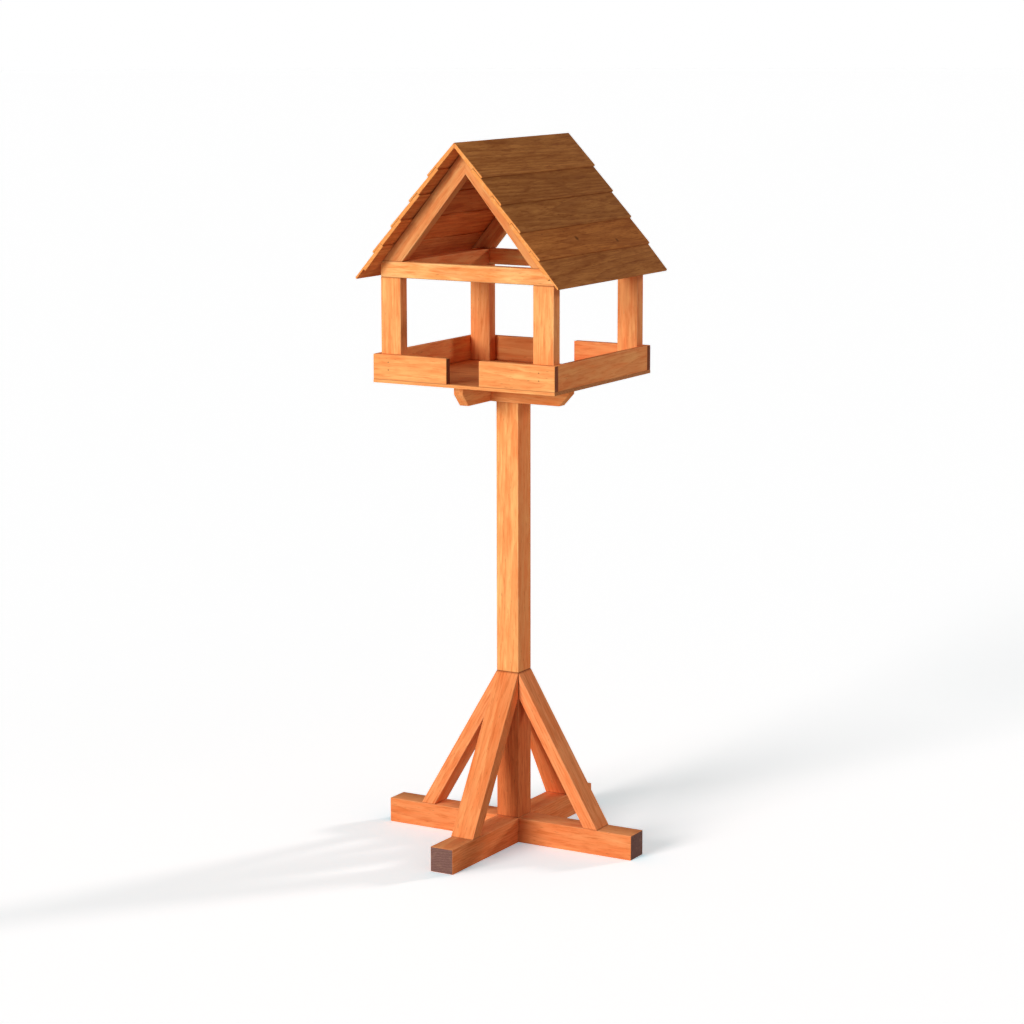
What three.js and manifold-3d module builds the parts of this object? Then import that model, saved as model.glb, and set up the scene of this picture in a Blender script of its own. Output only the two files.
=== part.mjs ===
// A garden bird table in stained softwood: a braced base on crossed feet, a post, an open tray and a
// gabled roof of lapped boards. Millimetres, +Z up, the front gable towards -Y. The origin is on the ground
// under the post.
import * as THREE from 'three';
import { mergeVertices } from 'three/addons/utils/BufferGeometryUtils.js';
import Module from 'manifold-3d';

// Driving dimensions of the stand.
const POST = 50; // side of the square posts and of the two feet
const FOOT_LENGTH = 560;
const BRACE_THICKNESS = 26;
const BRACE_REACH = 204; // from the post's axis to the outer end of a brace
const BRACE_TOP = 349; // also where the base post ends and the main post stands on it
const TRAY_BOTTOM = 937; // underside of the tray floor, where the post ends
const BRACKET = { height: 43, thickness: 21, reach: 151, noseRise: 24, noseRun: 22, screwAt: 48 };

// Driving dimensions of the tray.
const TRAY_WIDTH = 404;
const TRAY_DEPTH = 388;
const FLOOR_THICKNESS = 6;
const BOARD_HEIGHT = 50;
const END_BOARD_THICKNESS = 14;
const SIDE_BOARD_THICKNESS = 10;
const SWEEP_GAP = 72; // between the two short boards at each end

// Driving dimensions of the shelter.
const CORNER_POST = { width: 45, depth: 24, length: 198 };
const TIE_BEAM_HEIGHT = 31;
const RAFTER_WIDTH = 33;
const PITCH = THREE.MathUtils.degToRad(50);
const RAFTER_PEAK = 1395.5; // where the two rafters' upper faces would meet

// Driving dimensions of the roof boards, a feather-edge section with a rebate under the thick lower edge.
const ROOF_LENGTH = 440;
const ROOF_COURSES = 5;
const BOARD_WIDTH = 90;
const TOP_BOARD_WIDTH = 80.4; // the top course, measured along its underside from the ridge
const EXPOSURE = 64.7; // what each course shows below the one above
const THIN_EDGE = 7;
const THICK_EDGE = 9;
const REBATE = 4.9;
const NOSING = { radius: 2, steps: 3 }; // the rounded lower edge

const FIT = 0.3; // play where one piece is cut to another
const EASE = 1.2; // the planed timber's eased arrises
const SCREW_SIDES = 12;
const OVERRUN = 1; // how far a cutter runs past the face it cuts through
const SAME_POINT = 1e-4; // corners closer than this are one corner
const QUARTER = Math.PI / 2;

// Levels and places that follow from them.
const FLOOR_TOP = TRAY_BOTTOM + FLOOR_THICKNESS;
const POST_TOP = FLOOR_TOP + CORNER_POST.length;
const TIE_TOP = POST_TOP + TIE_BEAM_HEIGHT;
const FRAME_HALF_WIDTH = TRAY_WIDTH / 2 - SIDE_BOARD_THICKNESS;
const FRAME_HALF_DEPTH = TRAY_DEPTH / 2 - END_BOARD_THICKNESS;
const GABLE_Y = FRAME_HALF_DEPTH - CORNER_POST.depth / 2; // middle of each gable frame
const BOARD_TAPER = (THICK_EDGE - THIN_EDGE) / BOARD_WIDTH;
const LAP = BOARD_WIDTH - EXPOSURE;

const wasm = await Module();
wasm.setup();

const STAIN = { frame: 0xf09a5a, base: 0xe07f48, roof: 0x97602f };
const timber = (color) => new THREE.MeshStandardMaterial({ color, roughness: 0.62, metalness: 0 });
const zincPlate = () => new THREE.MeshStandardMaterial({ color: 0xb9a36a, roughness: 0.35, metalness: 0.9 });

function piece(name, geometry, material) {
  const mesh = new THREE.Mesh(geometry, material);
  mesh.name = name;
  return mesh;
}

function turned(angle, ...meshes) {
  const group = new THREE.Group();
  group.rotation.z = angle;
  group.add(...meshes);
  return group;
}

// A piece sawn from a planed board: the outline lies in the XZ plane and the board's thickness runs along Y,
// about the middle. Its arrises are eased.
function sawn(outline, thickness, ease = EASE) {
  const shape = new THREE.Shape(outline.map(([x, z]) => new THREE.Vector2(x, z)));
  const geometry = new THREE.ExtrudeGeometry(shape, {
    depth: thickness - 2 * ease,
    bevelEnabled: ease > 0,
    bevelThickness: ease,
    bevelSize: ease,
    bevelOffset: -ease,
    bevelSegments: 2,
  });
  geometry.rotateX(QUARTER);
  geometry.translate(0, thickness / 2 - ease, 0);
  return geometry;
}

const rectangle = (x0, x1, z0, z1) => [[x0, z0], [x1, z0], [x1, z1], [x0, z1]];

// A closed mesh with shared corners becomes a solid that can be cut, and comes back as a geometry.
function toSolid(geometry) {
  const bare = geometry.clone();
  bare.deleteAttribute('normal');
  bare.deleteAttribute('uv');
  const merged = mergeVertices(bare, SAME_POINT);
  return new wasm.Manifold(new wasm.Mesh({
    numProp: 3,
    vertProperties: new Float32Array(merged.attributes.position.array),
    triVerts: new Uint32Array(merged.index.array),
  }));
}

function toGeometry(solid) {
  const { vertProperties, triVerts } = solid.getMesh();
  const geometry = new THREE.BufferGeometry();
  geometry.setAttribute('position', new THREE.BufferAttribute(vertProperties, 3));
  geometry.setIndex(new THREE.BufferAttribute(triVerts, 1));
  geometry.computeVertexNormals();
  return geometry;
}

function cut(geometry, ...cutters) {
  return toGeometry(cutters.reduce((solid, cutter) => solid.subtract(toSolid(cutter)), toSolid(geometry)));
}

function block(x, y, z, width, depth, height) {
  return new THREE.BoxGeometry(width, depth, height).translate(x, y, z);
}

// A countersunk wood screw at (x, y), its head's flat at height z, driven up or down. A play makes its hole.
function screwGeometry({ x, y, z, length, radius, up }, play = 0) {
  const headRadius = 2 * radius;
  const headDepth = headRadius - radius;
  const profile = [
    [0, -play],
    [headRadius + play, -play],
    [headRadius + play, 0],
    [radius + play, headDepth],
    [radius + play, length - 2 * radius],
    [0, length + play],
  ].map(([r, h]) => new THREE.Vector2(r, h));
  const geometry = new THREE.LatheGeometry(profile, SCREW_SIDES);
  geometry.rotateX(up ? QUARTER : -QUARTER);
  return geometry.translate(x, y, z);
}

const screwHole = (screw) => screwGeometry(screw, FIT);

// A screw with a point at both ends, half in each of the two posts that it joins end to end.
function joiningScrewGeometry({ z, length, radius }, play = 0) {
  const half = length / 2;
  const profile = [
    [0, -half - play],
    [radius + play, 2 * radius - half],
    [radius + play, half - 2 * radius],
    [0, half + play],
  ].map(([r, h]) => new THREE.Vector2(r, h));
  const geometry = new THREE.LatheGeometry(profile, SCREW_SIDES);
  geometry.rotateX(QUARTER);
  return geometry.translate(0, 0, z);
}

// The way in for a sunk head, from the timber's face to the head.
function headRecess({ x, y, z, radius, up }, depth) {
  const mouth = 2 * radius + FIT;
  const length = depth + OVERRUN;
  const geometry = new THREE.CylinderGeometry(mouth, mouth, length, SCREW_SIDES);
  geometry.rotateX(QUARTER);
  return geometry.translate(x, y, z + (up ? -1 : 1) * length / 2);
}

const HEAD_SINK = 4; // how far the screw heads under the feet are sunk
const BRACE_SCREW_INSET = 20; // from the outer end of a brace
const POST_SCREW = { x: 0, y: 0, z: HEAD_SINK, length: 110, radius: 3.5, up: true };
const JOINING_SCREW = { z: BRACE_TOP, length: 120, radius: 4 };
const BRACE_SCREW = {
  x: BRACE_REACH - BRACE_SCREW_INSET,
  y: 0,
  z: HEAD_SINK,
  length: 70,
  radius: 2.2,
  up: true,
};
const FLOOR_SCREW = {
  x: BRACKET.screwAt,
  y: -(POST + BRACKET.thickness) / 2,
  z: FLOOR_TOP,
  length: 34,
  radius: 1.8,
  up: false,
};
const CORNER_SCREW = {
  x: FRAME_HALF_WIDTH - CORNER_POST.width / 2,
  y: GABLE_Y,
  z: TRAY_BOTTOM,
  length: 40,
  radius: 1.8,
  up: true,
};

// Screws that repeat round the post, each a quarter turn on from the last.
function aboutPost(screw, turns) {
  const angle = turns * QUARTER;
  return {
    ...screw,
    x: Math.round(Math.cos(angle)) * screw.x - Math.round(Math.sin(angle)) * screw.y,
    y: Math.round(Math.sin(angle)) * screw.x + Math.round(Math.cos(angle)) * screw.y,
  };
}

// The feet cross in a half lap: one is notched from above, the other from below.
function foot(notchFromAbove) {
  const half = FOOT_LENGTH / 2;
  const notchHeight = POST / 2 + FIT / 2;
  const notchMiddle = notchFromAbove ? POST - notchHeight / 2 : notchHeight / 2;
  const notch = block(
    0, 0, notchMiddle + (notchFromAbove ? OVERRUN : -OVERRUN),
    POST + 2 * FIT, POST + 2 * OVERRUN, notchHeight + 2 * OVERRUN,
  );
  const outerScrews = [BRACE_SCREW, { ...BRACE_SCREW, x: -BRACE_SCREW.x }];
  const screws = [POST_SCREW, ...outerScrews];
  return cut(
    sawn(rectangle(-half, half, 0, POST), POST),
    notch,
    ...screws.map(screwHole),
    ...screws.map((screw) => headRecess(screw, HEAD_SINK)),
  );
}

// The base post stands on the feet, held by a screw from below. The main post stands on the base post, and a
// screw with two points, hidden in the joint, holds them end to end.
const squarePost = (bottom, top) => sawn(rectangle(-POST / 2, POST / 2, bottom, top), POST);
const joiningHole = () => joiningScrewGeometry(JOINING_SCREW, FIT);
const basePost = () => cut(squarePost(POST, BRACE_TOP), screwHole(POST_SCREW), joiningHole());
const mainPost = () => cut(squarePost(BRACE_TOP, TRAY_BOTTOM), joiningHole());

// A brace is cut plumb where it meets the post and level where it stands on the foot.
function brace() {
  const postFace = POST / 2 + FIT;
  const footFace = POST + FIT;
  const slope = Math.atan2(BRACE_TOP - footFace, BRACE_REACH - postFace);
  const outline = [
    [postFace, BRACE_TOP - BRACE_THICKNESS / Math.cos(slope)],
    [BRACE_REACH - BRACE_THICKNESS / Math.sin(slope), footFace],
    [BRACE_REACH, footFace],
    [postFace, BRACE_TOP],
  ];
  return cut(sawn(outline, POST), screwHole(BRACE_SCREW));
}

// A bracket starts flush with one side of the post, runs past the other and ends in a cut-back nose.
function bracket() {
  const { height, thickness, reach, noseRise, noseRun } = BRACKET;
  const bottom = TRAY_BOTTOM - height;
  const outline = [
    [-POST / 2, bottom],
    [reach - noseRun, bottom],
    [reach, bottom + noseRise],
    [reach, TRAY_BOTTOM],
    [-POST / 2, TRAY_BOTTOM],
  ];
  const geometry = sawn(outline, thickness).translate(0, -(POST + thickness) / 2, 0);
  return cut(geometry, screwHole(FLOOR_SCREW));
}

function stand() {
  const group = new THREE.Group();
  group.add(piece('foot_left_right', foot(true), timber(STAIN.base)));
  group.add(turned(QUARTER, piece('foot_front_back', foot(false), timber(STAIN.base))));
  group.add(piece('base_post', basePost(), timber(STAIN.base)));
  group.add(piece('main_post', mainPost(), timber(STAIN.frame)));
  group.add(piece('post_screw', screwGeometry(POST_SCREW), zincPlate()));
  group.add(piece('post_joining_screw', joiningScrewGeometry(JOINING_SCREW), zincPlate()));
  ['right', 'back', 'left', 'front'].forEach((side, turn) => {
    group.add(turned(
      turn * QUARTER,
      piece(`brace_${side}`, brace(), timber(STAIN.base)),
      piece(`brace_screw_${side}`, screwGeometry(BRACE_SCREW), zincPlate()),
    ));
  });
  ['front', 'right', 'back', 'left'].forEach((side, turn) => {
    group.add(turned(
      turn * QUARTER,
      piece(`bracket_${side}`, bracket(), timber(STAIN.frame)),
      piece(`floor_screw_${side}`, screwGeometry(FLOOR_SCREW), zincPlate()),
    ));
  });
  return group;
}

// The four corners, each a sign along X and along Y.
const CORNERS = [
  { name: 'front_left', x: -1, y: -1 },
  { name: 'front_right', x: 1, y: -1 },
  { name: 'back_left', x: -1, y: 1 },
  { name: 'back_right', x: 1, y: 1 },
];

const atCorner = (screw, corner) => ({ ...screw, x: corner.x * screw.x, y: corner.y * screw.y });

function trayFloor() {
  const sheet = sawn(
    rectangle(-TRAY_WIDTH / 2, TRAY_WIDTH / 2, -TRAY_DEPTH / 2, TRAY_DEPTH / 2),
    FLOOR_THICKNESS,
    EASE / 2,
  );
  sheet.rotateX(-QUARTER).translate(0, 0, TRAY_BOTTOM + FLOOR_THICKNESS / 2);
  const floorScrews = [0, 1, 2, 3].map((turn) => aboutPost(FLOOR_SCREW, turn));
  const cornerScrews = CORNERS.map((corner) => atCorner(CORNER_SCREW, corner));
  return cut(sheet, ...[...floorScrews, ...cornerScrews].map(screwHole));
}

function tray() {
  const group = new THREE.Group();
  group.add(piece('tray_floor', trayFloor(), timber(STAIN.frame)));

  const sideLength = TRAY_DEPTH - 2 * END_BOARD_THICKNESS;
  for (const [name, sign] of [['left', -1], ['right', 1]]) {
    const outline = rectangle(-sideLength / 2, sideLength / 2, 0, BOARD_HEIGHT);
    const board = piece(`tray_side_${name}`, sawn(outline, SIDE_BOARD_THICKNESS), timber(STAIN.frame));
    board.rotation.z = QUARTER;
    board.position.set(sign * (TRAY_WIDTH - SIDE_BOARD_THICKNESS) / 2, 0, FLOOR_TOP);
    group.add(board);
  }

  const endLength = (TRAY_WIDTH - SWEEP_GAP) / 2;
  for (const corner of CORNERS) {
    const outline = rectangle(-endLength / 2, endLength / 2, 0, BOARD_HEIGHT);
    const board = piece(`tray_end_${corner.name}`, sawn(outline, END_BOARD_THICKNESS), timber(STAIN.frame));
    board.position.set(
      corner.x * (SWEEP_GAP + endLength) / 2,
      corner.y * (TRAY_DEPTH - END_BOARD_THICKNESS) / 2,
      FLOOR_TOP,
    );
    group.add(board);
  }
  return group;
}

// A corner post with the screw that comes up through the floor into its foot.
function cornerPost(corner) {
  const { width, depth } = CORNER_POST;
  const middle = corner.x * (FRAME_HALF_WIDTH - width / 2);
  const outline = rectangle(middle - width / 2, middle + width / 2, FLOOR_TOP, POST_TOP);
  const geometry = sawn(outline, depth).translate(0, corner.y * GABLE_Y, 0);
  return cut(geometry, screwHole(atCorner(CORNER_SCREW, corner)));
}

// Height of the rafters' upper face at a distance from the centre line.
const rafterTop = (x) => RAFTER_PEAK - Math.tan(PITCH) * x - FIT / Math.cos(PITCH);
const rafterFootReach = (RAFTER_PEAK - FIT / Math.cos(PITCH) - TIE_TOP) / Math.tan(PITCH);

// The tie beam lies on two corner posts, its upper corners trimmed to the slope of the roof.
function tieBeam() {
  const half = FRAME_HALF_WIDTH;
  const outline = [
    [-half, POST_TOP],
    [half, POST_TOP],
    [half, rafterTop(half)],
    [rafterFootReach, TIE_TOP],
    [-rafterFootReach, TIE_TOP],
    [-half, rafterTop(half)],
  ];
  return sawn(outline, CORNER_POST.depth);
}

// A rafter is mitred plumb at the peak and cut level where it stands on the tie beam.
function rafter() {
  const mitre = FIT / 2;
  const foot = TIE_TOP + FIT;
  const reach = rafterFootReach - FIT / Math.tan(PITCH);
  const outline = [
    [mitre, rafterTop(mitre) - RAFTER_WIDTH / Math.cos(PITCH)],
    [reach - RAFTER_WIDTH / Math.sin(PITCH), foot],
    [reach, foot],
    [mitre, rafterTop(mitre)],
  ];
  return sawn(outline, CORNER_POST.depth);
}

function shelterFrame() {
  const group = new THREE.Group();
  for (const corner of CORNERS) {
    const cornerScrew = screwGeometry(atCorner(CORNER_SCREW, corner));
    group.add(piece(`corner_post_${corner.name}`, cornerPost(corner), timber(STAIN.frame)));
    group.add(piece(`corner_screw_${corner.name}`, cornerScrew, zincPlate()));

    const leg = piece(`rafter_${corner.name}`, rafter(), timber(STAIN.frame));
    leg.rotation.z = corner.x > 0 ? 0 : Math.PI;
    leg.position.y = corner.y * GABLE_Y;
    group.add(leg);
  }
  for (const [name, sign] of [['front', -1], ['back', 1]]) {
    const beam = piece(`tie_beam_${name}`, tieBeam(), timber(STAIN.frame));
    beam.position.y = sign * GABLE_Y;
    group.add(beam);
  }
  const plateLength = 2 * (FRAME_HALF_DEPTH - CORNER_POST.depth);
  const plateMiddle = FRAME_HALF_WIDTH - CORNER_POST.width + CORNER_POST.depth / 2;
  for (const [name, sign] of [['left', -1], ['right', 1]]) {
    const outline = rectangle(-plateLength / 2, plateLength / 2, POST_TOP, TIE_TOP);
    const plate = piece(`side_plate_${name}`, sawn(outline, CORNER_POST.depth), timber(STAIN.frame));
    plate.rotation.z = QUARTER;
    plate.position.x = sign * plateMiddle;
    group.add(plate);
  }
  return group;
}

// The section of a roof board: x runs down the slope from its thin upper edge, z out from its underside. The
// rebate under the lower edge takes the board below. The top course is bevelled for the ridge.
function boardOutline(width, ridgeBevel) {
  const thickness = (u) => THICK_EDGE - BOARD_TAPER * (width - u);
  const shoulder = width - LAP - FIT;
  const bevelRun = thickness(0) * ridgeBevel / (1 + BOARD_TAPER * ridgeBevel);
  const { radius, steps } = NOSING;
  const arc = Array.from({ length: steps + 1 }, (_, step) => {
    const angle = step / steps * QUARTER;
    return [width - radius + radius * Math.cos(angle), THICK_EDGE - radius + radius * Math.sin(angle)];
  });
  return [
    [0, 0],
    [shoulder, 0],
    [shoulder, REBATE],
    [width, REBATE],
    ...arc,
    [-bevelRun, thickness(-bevelRun)],
  ];
}

// The lowest course lies flat on the rafters. Each one above touches them with its upper edge and rests its
// rebate on the course below, so the courses tilt up a little more, one after another.
function roofSlope(side) {
  const slope = new THREE.Group();
  const upperThickness = THICK_EDGE - BOARD_TAPER * (BOARD_WIDTH - LAP);
  let tilt = 0;
  for (let course = ROOF_COURSES; course >= 1; course -= 1) {
    const top = course === 1;
    const width = top ? TOP_BOARD_WIDTH : BOARD_WIDTH;
    if (course < ROOF_COURSES) {
      const restHeight = LAP * Math.sin(tilt) + upperThickness + FIT;
      tilt = Math.asin((restHeight - REBATE) / width);
    }
    const down = top ? FIT / 2 : TOP_BOARD_WIDTH + (course - 1) * EXPOSURE - BOARD_WIDTH;
    const ridgeBevel = top ? Math.tan(PITCH - tilt) : 0;
    const geometry = sawn(boardOutline(width, ridgeBevel), ROOF_LENGTH, 0);
    const board = piece(`roof_board_${side}_${course}`, geometry, timber(STAIN.roof));
    board.position.set(down * Math.cos(PITCH), 0, RAFTER_PEAK - down * Math.sin(PITCH));
    board.rotation.y = PITCH - tilt;
    slope.add(board);
  }
  return slope;
}

function roof() {
  const right = roofSlope('right');
  const left = turned(Math.PI, roofSlope('left'));
  return new THREE.Group().add(right, left);
}

const birdTable = new THREE.Group();
birdTable.add(stand(), tray(), shelterFrame(), roof());

export default birdTable;
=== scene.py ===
import bpy
import math
from mathutils import Matrix, Vector


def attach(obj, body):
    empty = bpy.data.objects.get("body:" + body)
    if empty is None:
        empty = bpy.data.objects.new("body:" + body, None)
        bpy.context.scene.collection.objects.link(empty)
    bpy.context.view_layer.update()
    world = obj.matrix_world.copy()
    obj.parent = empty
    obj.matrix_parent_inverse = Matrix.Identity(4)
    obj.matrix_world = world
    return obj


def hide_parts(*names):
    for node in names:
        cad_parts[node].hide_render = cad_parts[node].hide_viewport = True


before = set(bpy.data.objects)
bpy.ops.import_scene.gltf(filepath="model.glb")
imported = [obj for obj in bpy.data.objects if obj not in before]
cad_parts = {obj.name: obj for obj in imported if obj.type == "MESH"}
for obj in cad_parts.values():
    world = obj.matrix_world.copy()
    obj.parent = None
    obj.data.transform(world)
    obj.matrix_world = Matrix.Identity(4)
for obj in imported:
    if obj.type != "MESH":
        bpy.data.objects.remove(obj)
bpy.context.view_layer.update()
MM = 0.001

# The two feet are 50 mm square planed softwood, 560 mm long, crossed flat on the ground in a half lap. They
# are dipped in a red-orange stain, which the sawn ends drink until they turn grey-brown. Three screws come
# up through each from counterbored holes, out of sight on the underside.
FOOT, FOOT_LENGTH = 50 * MM, 560 * MM
PLAY = 0.3 * MM  # room left where pieces meet, and round each screw
OVERRUN = 1 * MM  # how far a drill runs past a face
ROUND_SIDES = 24  # flats round a hole or a screw
POST_SCREW, POST_SCREW_LENGTH = 3.5 * MM, 110 * MM
BRACE_SCREW, BRACE_SCREW_LENGTH, BRACE_SCREW_REACH = 2.2 * MM, 70 * MM, 184 * MM
SCREW_SINK = 4 * MM


def planed(name, low, high):
    """A squared length of timber between two corners."""
    bpy.ops.object.select_all(action="DESELECT")
    bpy.ops.mesh.primitive_cube_add(
        size=1,
        location=[(a + b) / 2 for a, b in zip(low, high)],
        scale=[b - a for a, b in zip(low, high)],
    )
    stick = bpy.context.object
    stick.name = stick.data.name = name
    bpy.ops.object.transform_apply(location=True, rotation=True, scale=True)
    return stick


def shape(piece, wanted, work, of="FACE"):
    """Picks a piece's faces or edges by their middle and normal, and works on them in edit mode."""
    bpy.ops.object.select_all(action="DESELECT")
    piece.select_set(True)
    bpy.context.view_layer.objects.active = piece
    bpy.ops.object.mode_set(mode="EDIT")
    bpy.ops.mesh.select_mode(type=of)
    bpy.ops.mesh.select_all(action="DESELECT")
    bpy.ops.object.mode_set(mode="OBJECT")
    mesh = piece.data
    if of == "FACE":
        for face in mesh.polygons:
            face.select = wanted(face.center, face.normal)
    else:
        for edge in mesh.edges:
            a, b = (mesh.vertices[i].co for i in edge.vertices)
            edge.select = wanted((a + b) / 2, (b - a).normalized())
    bpy.ops.object.mode_set(mode="EDIT")
    work()
    bpy.ops.object.mode_set(mode="OBJECT")


def saw(piece, point, away):
    """Saws a piece along a plane, and the side that away points to drops off."""
    shape(piece, lambda middle, normal: True, lambda: bpy.ops.mesh.bisect(
        plane_co=point, plane_no=away, use_fill=True, clear_outer=True))


def score(piece, point, normal):
    """Marks a line round a piece without parting it."""
    shape(piece, lambda middle, normal: True, lambda: bpy.ops.mesh.bisect(plane_co=point, plane_no=normal))


def pull(piece, wanted, by):
    """Draws the wanted faces out by a distance."""
    shape(piece, wanted, lambda: bpy.ops.mesh.extrude_region_move(TRANSFORM_OT_translate={"value": by}))


def run_modifier(piece, kind, **settings):
    bpy.ops.object.select_all(action="DESELECT")
    piece.select_set(True)
    bpy.context.view_layer.objects.active = piece
    modifier = piece.modifiers.new(kind.title(), kind)
    for name, value in settings.items():
        setattr(modifier, name, value)
    bpy.ops.object.modifier_apply(modifier=modifier.name)


def bore(piece, x, y, low, high, radius):
    """Drills an upright hole between two levels."""
    bpy.ops.object.select_all(action="DESELECT")
    bpy.ops.mesh.primitive_cone_add(
        vertices=ROUND_SIDES,
        radius1=radius,
        radius2=radius,
        depth=high - low,
        location=(x, y, (low + high) / 2),
    )
    drill = bpy.context.object
    run_modifier(piece, "BOOLEAN", object=drill, operation="DIFFERENCE", solver="EXACT")
    bpy.data.objects.remove(drill)


def bore_foot(piece, x, y):
    """A counterbored hole up through a foot, the one in the middle for the screw into the post."""
    radius = BRACE_SCREW if x or y else POST_SCREW
    bore(piece, x, y, -OVERRUN, SCREW_SINK, 2 * radius + PLAY)
    bore(piece, x, y, SCREW_SINK - 0.1 * MM, FOOT + 10 * MM, radius + PLAY)


def ease_arrises(piece, width=1.4 * MM):
    """Takes the sharpness off every arris with three strokes of the plane."""
    shape(
        piece, lambda middle, along: True,
        lambda: bpy.ops.mesh.dissolve_limited(angle_limit=math.radians(1)), "EDGE")
    run_modifier(piece, "BEVEL", width=width, segments=3, limit_method="ANGLE", angle_limit=math.radians(30))
    bpy.ops.object.shade_smooth_by_angle(angle=math.radians(40))


def turned_copy(piece, name, turn):
    """A copy with its own mesh, turned about the post's axis."""
    twin = piece.copy()
    twin.data = piece.data.copy()
    twin.name = twin.data.name = name
    bpy.context.collection.objects.link(twin)
    twin.data.transform(Matrix.Rotation(turn, 4, "Z"))
    return twin


def fit(piece, node, material):
    """Fixes a finished piece to the rigid body in place of its plain solid."""
    piece.data.materials.clear()
    piece.data.materials.append(material)
    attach(piece, "root")
    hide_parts(node)


def linear(hex_colour):
    """A colour written in sRGB, as the linear light that Blender works in."""
    parts = [int(hex_colour[i:i + 2], 16) / 255 for i in (1, 3, 5)]
    return tuple(c / 12.92 if c <= 0.04045 else ((c + 0.055) / 1.055) ** 2.4 for c in parts) + (1,)


def add(tree, kind, inputs, **settings):
    """Adds a node with its settings and links, and gives it back."""
    node = tree.nodes.new("ShaderNode" + kind)
    for name, value in settings.items():
        setattr(node, name, value)
    for socket, value in inputs.items():
        if isinstance(value, bpy.types.NodeSocket):
            tree.links.new(value, node.inputs[socket])
        else:
            node.inputs[socket].default_value = value
    return node


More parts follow.
